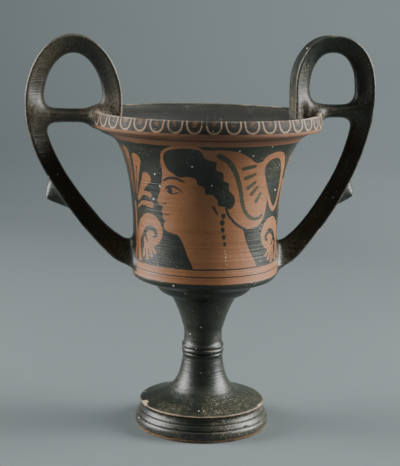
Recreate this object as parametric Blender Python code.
"""Stemmed drinking cup of thrown clay with two high looped handles, fired as one piece.

Metres, +Z up. The handles lie along X, and the origin is on the floor midway between their ends.
"""

import math

import bmesh
import bpy
from mathutils import Vector

# Foot: a rounded roll on the floor, a thin groove, a hollow moulding and a sharp-edged disc
FOOT_RADIUS = 0.0343
FOOT_ROLL_HEIGHT = 0.0052
FOOT_TURN_IN = 0.0007
GROOVE_WIDTH = 0.0007
GROOVE_DEPTH = 0.0004
DISC_RADIUS = 0.0319
DISC_HEIGHT = 0.0129
DISC_EDGE = 0.0007
HOLLOW_DEPTH = 0.0009

# Underside: the ring that the cup rests on, and the cone hollowed out inside it
REST_WIDTH = 0.0052
RECESS_STEP = 0.0030
RECESS_TOP_RADIUS = 0.0042
RECESS_HEIGHT = 0.0330

# Stem: two round beads over a thinner one, with a trumpet curve below and above
STEM_RADIUS = 0.0097
COLLAR_RADIUS = 0.0103
COLLAR_HEIGHT = 0.0014
RING_RADIUS = 0.0109
RING_BASE = 0.0381
BEAD_HEIGHT = 0.0024
STEM_TOP_RADIUS = 0.0170
STEM_TOP_HEIGHT = 0.0678

# Turned moulding between the stem and the bowl
MOULDING_RADIUS = 0.0243
MOULDING_RISE = 0.0049
MOULDING_STEP = 0.0007

# Bowl: a low underside, a rounded turn and a bell-shaped wall
TURN_RADIUS = 0.0366
TURN_HEIGHT = 0.0800
TURN_ROUND = 0.0028
WAIST_PULL = 0.0012
WALL = 0.0038
FLOOR_ROUND = 0.0060

# Rim: an overhanging band with a rounded top
RIM_RADIUS = 0.0572
RIM_HEIGHT = 0.1609
BAND_HEIGHT = 0.0078
BAND_BULGE = 0.0009
LIP_WIDTH = 0.0016
FLARE_RADIUS = 0.0445
FLARE_DEPTH = 0.0159

# Handles: straps with a channelled outer face, a ridge inside, a strut to the rim and a spur
LEFT_REACH = 0.0896
RIGHT_REACH = 0.0833
LEFT_RISE = 0.0368
RIGHT_RISE = 0.0380
LEFT_MIDDLE_RISE = 0.0050
RIGHT_MIDDLE_RISE = 0.0112
LEFT_STRUT_RISE = -0.0024
RIGHT_STRUT_RISE = 0.0012
LOOP_INSET = 0.0100
LEFT_ROOT_RISE = 0.0103
RIGHT_ROOT_RISE = 0.0085
LOWER_ROOT_BEND = 0.0105
LEFT_SHAFT_HOLD = 0.41
RIGHT_SHAFT_HOLD = 0.48
SHAFT_BOW = 0.0020
UPPER_ROOT_DEPTH = 0.0100
STRAP_WIDTH = 0.0160
STRAP_THICKNESS = 0.0090
SHAFT_WIDTH = 0.0142
SHAFT_THICKNESS = 0.0084
ROOT_WIDTH = 0.0180
ROOT_THICKNESS = 0.0135
CHANNEL_DEPTH = 0.0009
STRUT_THICKNESS = 0.0064
STRUT_WIDTH = 0.0092
STRUT_FLARE = 0.0036
LEFT_SPUR_LENGTH = 0.0056
RIGHT_SPUR_LENGTH = 0.0048
SPUR_BASE = 0.0180
SPUR_TIP = 0.0028
SPUR_WIDTH = 0.0084
SPUR_PLACE = 0.42
SPUR_LEAN = -0.10

# Fineness of the faceted solid
TURN_STEPS = 36
LOOP_STEPS = 12
SHAFT_STEPS = 12
ROOT_STEPS = 3
STRUT_STEPS = 6

GLOSS_COLOUR = (0.022, 0.023, 0.019, 1.0)
GLOSS_ROUGHNESS = 0.38


def bezier(start, pull_start, pull_end, end, count):
    """The points of a cubic curve after its start, at even steps."""
    points = []
    for step in range(1, count + 1):
        t = step / count
        s = 1 - t
        weights = (s**3, 3 * s * s * t, 3 * s * t * t, t**3)
        corners = (start, pull_start, pull_end, end)
        points.append(tuple(sum(w * c[k] for w, c in zip(weights, corners)) for k in (0, 1)))
    return points


def bead(radius, low, high, depth, count):
    """A round bead on a turned profile: a half ellipse from its low to its high corner."""
    middle = (low + high) / 2
    half = (high - low) / 2
    points = []
    for step in range(count + 1):
        angle = math.pi * (step / count - 0.5)
        points.append((radius - depth + depth * math.cos(angle), middle + half * math.sin(angle)))
    return points


def foot_profile():
    """Outside of the foot, from the floor up to the stem's collar."""
    side = bead(FOOT_RADIUS, 0.0, FOOT_ROLL_HEIGHT, FOOT_TURN_IN, 3)
    groove_radius = FOOT_RADIUS - FOOT_TURN_IN - GROOVE_DEPTH
    groove_top = FOOT_ROLL_HEIGHT + GROOVE_WIDTH
    side.append((groove_radius, groove_top - GROOVE_WIDTH / 2))
    side.append((groove_radius + GROOVE_DEPTH, groove_top))
    under_disc = DISC_HEIGHT - DISC_EDGE
    hollow = DISC_RADIUS - HOLLOW_DEPTH
    drop = under_disc - groove_top
    side += bezier(
        side[-1],
        (groove_radius, groove_top + 0.6 * drop),
        (hollow, groove_top + 0.4 * drop),
        (hollow, under_disc - 0.2 * drop),
        3,
    )
    side.append((DISC_RADIUS, under_disc))
    side.append((DISC_RADIUS, DISC_HEIGHT))
    collar_base = RING_BASE - COLLAR_HEIGHT
    climb = collar_base - DISC_HEIGHT
    spread = DISC_RADIUS - STEM_RADIUS
    side += bezier(
        side[-1],
        (STEM_RADIUS + 0.22 * spread, DISC_HEIGHT + 0.15 * climb),
        (STEM_RADIUS + 0.10 * spread, DISC_HEIGHT + 0.38 * climb),
        (STEM_RADIUS + GROOVE_DEPTH, collar_base),
        6,
    )
    return side


def stem_profile():
    """The collar, the two beads and the upper trumpet of the stem."""
    bead_depth = RING_RADIUS - STEM_RADIUS
    collar = bead(COLLAR_RADIUS, RING_BASE - COLLAR_HEIGHT, RING_BASE, GROOVE_DEPTH, 2)
    middle = RING_BASE + BEAD_HEIGHT
    top = middle + BEAD_HEIGHT
    lower = bead(RING_RADIUS, RING_BASE, middle, 0.6 * bead_depth, 3)
    upper = bead(RING_RADIUS, middle, top, 0.6 * bead_depth, 3)[1:]
    climb = STEM_TOP_HEIGHT - top
    spread = STEM_TOP_RADIUS - STEM_RADIUS
    trumpet = bezier(
        (STEM_RADIUS, top),
        (STEM_RADIUS - 0.02 * spread, top + 0.38 * climb),
        (STEM_RADIUS + 0.27 * spread, top + 0.70 * climb),
        (STEM_TOP_RADIUS, STEM_TOP_HEIGHT),
        4,
    )
    return collar + lower[1:] + upper + [(STEM_RADIUS, top + GROOVE_DEPTH)] + trumpet


def moulding_profile():
    """The stepped moulding under the bowl."""
    edge_height = STEM_TOP_HEIGHT + MOULDING_RISE
    spread = MOULDING_RADIUS - STEM_TOP_RADIUS
    start = (STEM_TOP_RADIUS + MOULDING_STEP, STEM_TOP_HEIGHT + 0.6 * MOULDING_STEP)
    swell = bezier(
        start,
        (STEM_TOP_RADIUS + 0.40 * spread, STEM_TOP_HEIGHT + 0.26 * MOULDING_RISE),
        (MOULDING_RADIUS - 0.15 * spread, edge_height - 0.5 * MOULDING_RISE),
        (MOULDING_RADIUS, edge_height - 0.3 * MOULDING_STEP),
        3,
    )
    return [start] + swell + [(MOULDING_RADIUS - 0.3 * MOULDING_STEP, edge_height)]


def underside_profile():
    """The bowl's low underside and its rounded turn into the wall."""
    start = (MOULDING_RADIUS + 0.3 * MOULDING_STEP, STEM_TOP_HEIGHT + MOULDING_RISE + MOULDING_STEP)
    low = (TURN_RADIUS - TURN_ROUND, TURN_HEIGHT - TURN_ROUND)
    corner = (TURN_RADIUS - 0.15 * TURN_ROUND, TURN_HEIGHT - 0.75 * TURN_ROUND)
    return [start, low] + bezier(low, corner, corner, (TURN_RADIUS, TURN_HEIGHT), 3)


def wall_profile():
    """The bell of the bowl: nearly upright at the turn, flaring into the rim's underside."""
    flare_height = RIM_HEIGHT - FLARE_DEPTH
    climb = flare_height - TURN_HEIGHT
    bell = bezier(
        (TURN_RADIUS, TURN_HEIGHT),
        (TURN_RADIUS - WAIST_PULL, TURN_HEIGHT + 0.30 * climb),
        (TURN_RADIUS - 0.4 * WAIST_PULL, TURN_HEIGHT + 0.77 * climb),
        (FLARE_RADIUS, flare_height),
        6,
    )
    band_foot = RIM_HEIGHT - BAND_HEIGHT
    rise = band_foot - flare_height
    reach = RIM_RADIUS - BAND_BULGE - FLARE_RADIUS
    lip_foot = (RIM_RADIUS - 2 * BAND_BULGE, band_foot - 0.03 * rise)
    flare = bezier(
        (FLARE_RADIUS, flare_height),
        (FLARE_RADIUS + 0.14 * reach, flare_height + 0.40 * rise),
        (FLARE_RADIUS + 0.34 * reach, flare_height + 0.74 * rise),
        lip_foot,
        4,
    )
    return bell, flare


def band_profile():
    """The rim's outer band, a little rounded, and its narrow top."""
    foot = RIM_HEIGHT - BAND_HEIGHT
    side = bezier(
        (RIM_RADIUS - BAND_BULGE, foot),
        (RIM_RADIUS + 0.2 * BAND_BULGE, foot + 0.2 * BAND_HEIGHT),
        (RIM_RADIUS + 0.2 * BAND_BULGE, foot + 0.6 * BAND_HEIGHT),
        (RIM_RADIUS - 1.2 * BAND_BULGE, RIM_HEIGHT - 0.25 * BAND_BULGE),
        4,
    )
    top = [(RIM_RADIUS - 1.2 * BAND_BULGE - 0.4 * LIP_WIDTH, RIM_HEIGHT)]
    inner = (RIM_RADIUS - 1.2 * BAND_BULGE - LIP_WIDTH, RIM_HEIGHT - 0.3 * LIP_WIDTH)
    return [(RIM_RADIUS - BAND_BULGE, foot)] + side + top + [inner]


def offset_inwards(points, distance):
    """Each point of a rising profile moved off along its normal, towards the axis."""
    moved = []
    for index, point in enumerate(points):
        before = Vector(points[max(index - 1, 0)])
        after = Vector(points[min(index + 1, len(points) - 1)])
        along = (after - before).normalized()
        moved.append((point[0] - along.y * distance, point[1] + along.x * distance))
    return moved


def inner_profile():
    """Inside of the cup, from the lip down to the middle of the floor."""
    bell, flare = wall_profile()
    wall = offset_inwards([(TURN_RADIUS, TURN_HEIGHT)] + bell + flare[:2], WALL)
    foot = wall[0]
    floor_height = TURN_HEIGHT - TURN_ROUND - 0.3 * FLOOR_ROUND + WALL
    floor = bezier(
        foot,
        (foot[0], floor_height),
        (foot[0], floor_height),
        (foot[0] - FLOOR_ROUND, floor_height),
        2,
    )
    return wall[::-1] + floor + [(0.0, floor_height)]


def recess_profile():
    """The cone under the foot, from its tip down to the ring that the cup rests on."""
    mouth = FOOT_RADIUS - FOOT_TURN_IN - REST_WIDTH
    step_radius = mouth - 0.25 * RECESS_STEP
    rise = RECESS_HEIGHT - RECESS_STEP
    spread = step_radius - RECESS_TOP_RADIUS
    shoulder = (RECESS_TOP_RADIUS, RECESS_STEP + 0.88 * rise)
    cone = bezier(
        (step_radius, RECESS_STEP),
        (RECESS_TOP_RADIUS + 0.45 * spread, RECESS_STEP + 0.12 * rise),
        (RECESS_TOP_RADIUS + 0.05 * spread, RECESS_STEP + 0.35 * rise),
        shoulder,
        4,
    )
    down = [(0.0, RECESS_HEIGHT), (0.7 * RECESS_TOP_RADIUS, RECESS_STEP + 0.96 * rise)]
    return down + cone[::-1] + [(step_radius, RECESS_STEP), (mouth, 0.0)]


def cup_profile():
    """The whole turned section, from the tip of the recess round to the floor of the cup."""
    bell, flare = wall_profile()
    outside = foot_profile() + stem_profile() + moulding_profile() + underside_profile()
    return recess_profile() + outside + bell + flare + band_profile() + inner_profile()


def outer_radius(height):
    """Radius of the bowl's outside at a height on its wall."""
    bell, flare = wall_profile()
    points = [(TURN_RADIUS, TURN_HEIGHT)] + bell + flare
    for low, high in zip(points, points[1:]):
        if low[1] <= height <= high[1]:
            share = (height - low[1]) / (high[1] - low[1])
            return low[0] + share * (high[0] - low[0])
    return points[-1][0] if height > points[-1][1] else points[0][0]


def turned_cup():
    """The profile spun once round the axis, with the handles' plane halfway between two columns."""
    mesh = bmesh.new()
    half_step = math.pi / TURN_STEPS
    across, along = math.cos(half_step), math.sin(half_step)
    corners = [mesh.verts.new((r * across, r * along, height)) for r, height in cup_profile()]
    edges = [mesh.edges.new(pair) for pair in zip(corners, corners[1:])]
    bmesh.ops.spin(
        mesh,
        geom=corners + edges,
        cent=(0.0, 0.0, 0.0),
        axis=(0.0, 0.0, 1.0),
        angle=2 * math.pi,
        steps=TURN_STEPS,
        use_merge=True,
    )
    bmesh.ops.remove_doubles(mesh, verts=mesh.verts, dist=1e-6)
    bmesh.ops.recalc_face_normals(mesh, faces=mesh.faces)
    return mesh


def strap_section(width, thickness):
    """The strap across its run, as (across, outwards): a channelled face and two sides to a ridge."""
    half = width / 2
    face = thickness / 2
    channel = min(CHANNEL_DEPTH, 0.25 * thickness)
    right = [
        (0.36 * half, face - channel),
        (0.93 * half, face),
        (half, face - 0.12 * thickness),
        (0.78 * half, face - 0.34 * thickness),
        (0.48 * half, face - 0.70 * thickness),
        (0.20 * half, face - thickness),
    ]
    left = [(-across, out) for across, out in reversed(right)]
    return right + left


def round_section(width, thickness, count=10):
    """An ellipse across its run, as (across, outwards)."""
    angles = [2 * math.pi * (step + 0.5) / count for step in range(count)]
    return [(width / 2 * math.sin(a), thickness / 2 * math.cos(a)) for a in angles]


def sweep(stations, section, side):
    """A closed bar through stations of (x, z, run x, run z, width, thickness), on one side of the cup."""
    mesh = bmesh.new()
    ring = []
    for index, (x, z, run_x, run_z, width, thickness) in enumerate(stations):
        length = math.hypot(run_x, run_z)
        out_x, out_z = -run_z / length, run_x / length
        places = [
            Vector((side * (x + out * out_x), across, z + out * out_z))
            for across, out in section(width, thickness)
        ]
        if index == 0:
            ring = [mesh.verts.new(place) for place in places]
            mesh.faces.new(ring)
            continue
        edges = [mesh.edges.get((a, b)) for a, b in zip(ring, ring[1:] + ring[:1])]
        made = bmesh.ops.extrude_edge_only(mesh, edges=edges)
        fresh = {item for item in made["geom"] if isinstance(item, bmesh.types.BMVert)}
        ring = [next(e.other_vert(v) for e in v.link_edges if e.other_vert(v) in fresh) for v in ring]
        for corner, place in zip(ring, places):
            corner.co = place
    mesh.faces.new(ring)
    bmesh.ops.recalc_face_normals(mesh, faces=mesh.faces)
    return mesh


def with_runs(points):
    """Adds to each (x, z, width, thickness) the direction in which the bar runs there.

    Its last end lies level, so that it sits squarely inside the wall it grows from.
    """
    stations = []
    for index, (x, z, width, thickness) in enumerate(points):
        before = points[max(index - 1, 0)]
        after = points[min(index + 1, len(points) - 1)]
        stations.append((x, z, after[0] - before[0], after[1] - before[1], width, thickness))
    x, z, run_x, run_z, width, thickness = stations[-1]
    stations[-1] = (x, z, math.copysign(1.0, run_x), 0.0, width, thickness)
    return stations


def between(low, high, share):
    """A value part of the way from low to high, eased at both ends."""
    eased = share * share * (3 - 2 * share)
    return low + (high - low) * eased


def strap_points(reach, rise, middle_rise, root_rise, hold):
    """A handle's centre line with its width and thickness, from inside the lip to the bowl's wall."""
    cup_side = RIM_RADIUS - LOOP_INSET
    far_side = reach - STRAP_THICKNESS / 2
    top = RIM_HEIGHT + rise - STRAP_THICKNESS / 2
    middle = RIM_HEIGHT + middle_rise
    sunk_height = RIM_HEIGHT - UPPER_ROOT_DEPTH
    sunk = (outer_radius(sunk_height) - WALL / 2, sunk_height)
    climb = middle - sunk_height
    path = []
    upper = [sunk] + bezier(
        sunk,
        (sunk[0] + 0.5 * WALL, sunk_height + 0.35 * climb),
        (cup_side, middle - 0.45 * climb),
        (cup_side, middle),
        ROOT_STEPS,
    )
    for index, (x, z) in enumerate(upper):
        share = index / (len(upper) - 1)
        thickness = between(0.5 * WALL, STRAP_THICKNESS, min(1.0, 2.2 * share))
        width = between(ROOT_WIDTH, STRAP_WIDTH, share) if index else 0.75 * ROOT_WIDTH
        path.append((x, z, width, thickness))
    centre = (cup_side + far_side) / 2
    half_width = (far_side - cup_side) / 2
    for step in range(1, LOOP_STEPS):
        angle = math.pi * (1 - step / LOOP_STEPS)
        x = centre + half_width * math.cos(angle)
        z = middle + (top - middle) * math.sin(angle)
        path.append((x, z, STRAP_WIDTH, STRAP_THICKNESS))
    root_height = TURN_HEIGHT + root_rise
    root = (outer_radius(root_height) - 0.5 * WALL, root_height)
    shaft = [(far_side, middle)] + bezier(
        (far_side, middle),
        (far_side + SHAFT_BOW, middle - hold * (middle - root_height)),
        (root[0] + 0.85 * LOWER_ROOT_BEND, root_height - 0.55 * LOWER_ROOT_BEND),
        root,
        SHAFT_STEPS,
    )
    for index, (x, z) in enumerate(shaft):
        share = index / (len(shaft) - 1)
        slim = between(0.0, 1.0, min(1.0, share / 0.45))
        flare = between(0.0, 1.0, max(0.0, (share - 0.72) / 0.28))
        width = STRAP_WIDTH + (SHAFT_WIDTH - STRAP_WIDTH) * slim + (ROOT_WIDTH - SHAFT_WIDTH) * flare
        thickness = STRAP_THICKNESS + (SHAFT_THICKNESS - STRAP_THICKNESS) * slim
        thickness += (ROOT_THICKNESS - SHAFT_THICKNESS) * flare
        path.append((x, z, width, thickness))
    return path, shaft


def strut_points(reach, strut_rise):
    """The bar between the rim and the shaft, flared where it joins them."""
    start = RIM_RADIUS - 0.85 * LOOP_INSET
    end = reach - 0.5 * STRAP_THICKNESS
    height = RIM_HEIGHT + strut_rise
    points = []
    for step in range(STRUT_STEPS + 1):
        share = step / STRUT_STEPS
        flare = STRUT_FLARE * abs(2 * share - 1) ** 3
        x = start + (end - start) * share
        points.append((x, height, STRUT_WIDTH, STRUT_THICKNESS + 2 * flare))
    return points


def spur_stations(shaft, length):
    """The pointed spur on the shaft's outer face, drawn out level with its lower end."""
    index = round(SPUR_PLACE * (len(shaft) - 1))
    centre = Vector(shaft[index])
    run = (Vector(shaft[index + 1]) - Vector(shaft[index - 1])).normalized()
    out = Vector((-run.y, run.x))
    face = SHAFT_THICKNESS / 2
    stations = []
    for share in (0.0, 0.35, 0.65, 0.88, 1.0):
        size = SPUR_BASE + (SPUR_TIP - SPUR_BASE) * share**0.75
        if share == 1.0:
            size *= 0.55
        slide = SPUR_LEAN * (SPUR_BASE - size)
        place = centre + out * (face * 0.35 + share * (length + face * 0.65)) + run * slide
        width = SPUR_WIDTH * (1 - 0.45 * share)
        stations.append((place.x, place.y, out.x, out.y, width, size))
    return stations


def helper(name, mesh):
    """A closed mesh that the cup is joined with and that isn't a piece of its own."""
    data = bpy.data.meshes.new(name)
    mesh.to_mesh(data)
    mesh.free()
    shape = bpy.data.objects.new(name, data)
    bpy.context.scene.collection.objects.link(shape)
    shape.hide_render = True
    shape.display_type = "WIRE"
    return shape


def handle_shapes(name, side, line, strut_rise, spur_length):
    """The strap, the strut and the spur of one handle, whose centre line has the given sizes."""
    points, shaft = strap_points(*line)
    strap = sweep(with_runs(points), strap_section, side)
    strut = sweep(with_runs(strut_points(line[0], strut_rise)), round_section, side)
    spur = sweep(spur_stations(shaft, spur_length), round_section, side)
    return [
        helper(name + "_strap", strap),
        helper(name + "_strut", strut),
        helper(name + "_spur", spur),
    ]


def gloss_material():
    """Black gloss slip, which covers most of the fired clay."""
    material = bpy.data.materials.new("black_gloss")
    material.use_nodes = True
    shader = material.node_tree.nodes["Principled BSDF"]
    shader.inputs["Base Color"].default_value = GLOSS_COLOUR
    shader.inputs["Roughness"].default_value = GLOSS_ROUGHNESS
    shader.inputs["Metallic"].default_value = 0.0
    return material


def main():
    for stale in list(bpy.data.objects):
        bpy.data.objects.remove(stale, do_unlink=True)
    data = bpy.data.meshes.new("kantharos")
    cup = turned_cup()
    cup.to_mesh(data)
    cup.free()
    kantharos = bpy.data.objects.new("kantharos", data)
    bpy.context.scene.collection.objects.link(kantharos)
    data.materials.append(gloss_material())
    left = (LEFT_REACH, LEFT_RISE, LEFT_MIDDLE_RISE, LEFT_ROOT_RISE, LEFT_SHAFT_HOLD)
    right = (RIGHT_REACH, RIGHT_RISE, RIGHT_MIDDLE_RISE, RIGHT_ROOT_RISE, RIGHT_SHAFT_HOLD)
    shapes = handle_shapes("left", -1, left, LEFT_STRUT_RISE, LEFT_SPUR_LENGTH)
    shapes += handle_shapes("right", 1, right, RIGHT_STRUT_RISE, RIGHT_SPUR_LENGTH)
    axis = bpy.data.objects.new("turning_axis", None)
    axis.location.x = (LEFT_REACH - RIGHT_REACH) / 2
    bpy.context.scene.collection.objects.link(axis)
    for shape in [kantharos] + shapes:
        shape.parent = axis
    for shape in shapes:
        join = kantharos.modifiers.new(shape.name, "BOOLEAN")
        join.operation = "UNION"
        join.solver = "EXACT"
        join.object = shape
    data.shade_smooth()
    data.set_sharp_from_angle(angle=math.radians(35))


main()
